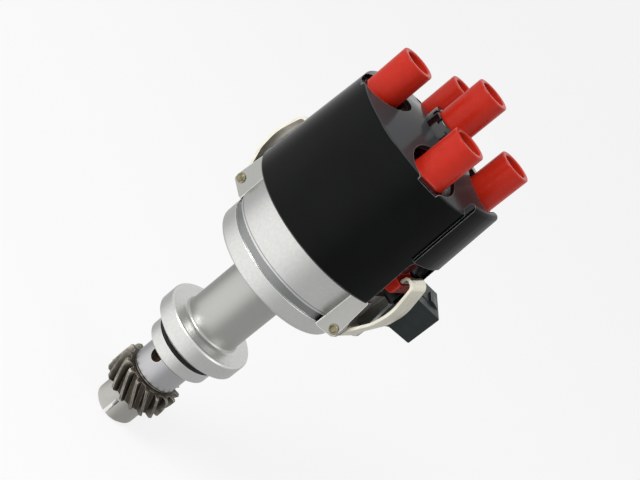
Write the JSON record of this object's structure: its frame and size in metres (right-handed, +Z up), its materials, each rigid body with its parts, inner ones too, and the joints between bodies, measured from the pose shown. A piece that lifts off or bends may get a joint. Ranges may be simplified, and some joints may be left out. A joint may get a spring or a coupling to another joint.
{
  "type": "ignition distributor",
  "caption": "Ignition distributor: cast bowl on a collared neck, black cover, red cap with lead towers, spring clips, side connector and a helical drive gear.",
  "frame": {"origin": "centre of the collar's underside, which seats on the engine block", "axes": "+Z up the shaft's axis towards the towers, +X to the side of the connector and the right clip, -Y to the viewer"},
  "size_m": [0.108, 0.085, 0.2284],
  "materials": {
    "cast_aluminium": "fine cast, lightly blasted",
    "rubber": "satin moulded",
    "sintered_bronze": "oil-filled sintered",
    "ground_steel": "ground",
    "gear_steel": "hobbed and oiled",
    "spring_steel": "bright rolled strip",
    "plated_steel": "yellow zinc plated",
    "black_cover": "glossy moulded",
    "black_connector": "satin moulded",
    "red_cap": "satin moulded",
    "terminal_brass": "turned",
    "carbon": "pressed graphite",
    "brown_rotor": "moulded phenolic",
    "sensor_plastic": "moulded"
  },
  "bodies": {
    "housing": {"housing": "cast_aluminium", "o_ring": "rubber", "upper_bush": "sintered_bronze", "lower_bush": "sintered_bronze", "shaft_seal": "rubber", "hall_plate": "plated_steel", "plate_screws": "plated_steel", "hall_sensor": "sensor_plastic", "connector_housing": "black_connector", "connector_pins": "terminal_brass", "dust_shield": "black_connector", "distributor_cap": "red_cap", "outer_terminals": "terminal_brass", "centre_terminal": "terminal_brass", "brush_spring": "spring_steel", "cap_shroud": "black_cover", "shroud_retainer": "black_cover", "clip_pivots": "plated_steel"},
    "shaft": {"drive_shaft": "ground_steel", "drive_gear": "gear_steel", "gear_pin": "ground_steel", "thrust_washer": "ground_steel", "upper_shim": "ground_steel", "retaining_ring": "spring_steel", "vane_wheel": "plated_steel", "rotor_arm": "brown_rotor", "rotor_electrode": "terminal_brass"},
    "clip_right": {"clip_right": "spring_steel"},
    "clip_left": {"clip_left": "spring_steel"},
    "brush": {"carbon_brush": "carbon"}
  },
  "joints": [
    {"name": "shaft_spin", "type": "hinge", "parent": "housing", "child": "shaft", "pos_m": [0, 0, 0], "axis": [0, 0, 1], "continuous": true},
    {"name": "clip_right_hinge", "type": "hinge", "parent": "housing", "child": "clip_right", "pos_m": [0.03712, -0.01351, 0.0658], "axis": [0.342, 0.9397, 0], "range_deg": [0, 80]},
    {"name": "clip_left_hinge", "type": "hinge", "parent": "housing", "child": "clip_left", "pos_m": [-0.03712, 0.01351, 0.0658], "axis": [-0.342, -0.9397, 0], "range_deg": [0, 80]},
    {"name": "brush_slide", "type": "slide", "parent": "housing", "child": "brush", "axis": [0, 0, 1], "range_m": [0, 0.0015], "stiffness_N_per_m": 120, "springref_m": -0.004, "deforming": ["brush_spring"]}
  ]
}
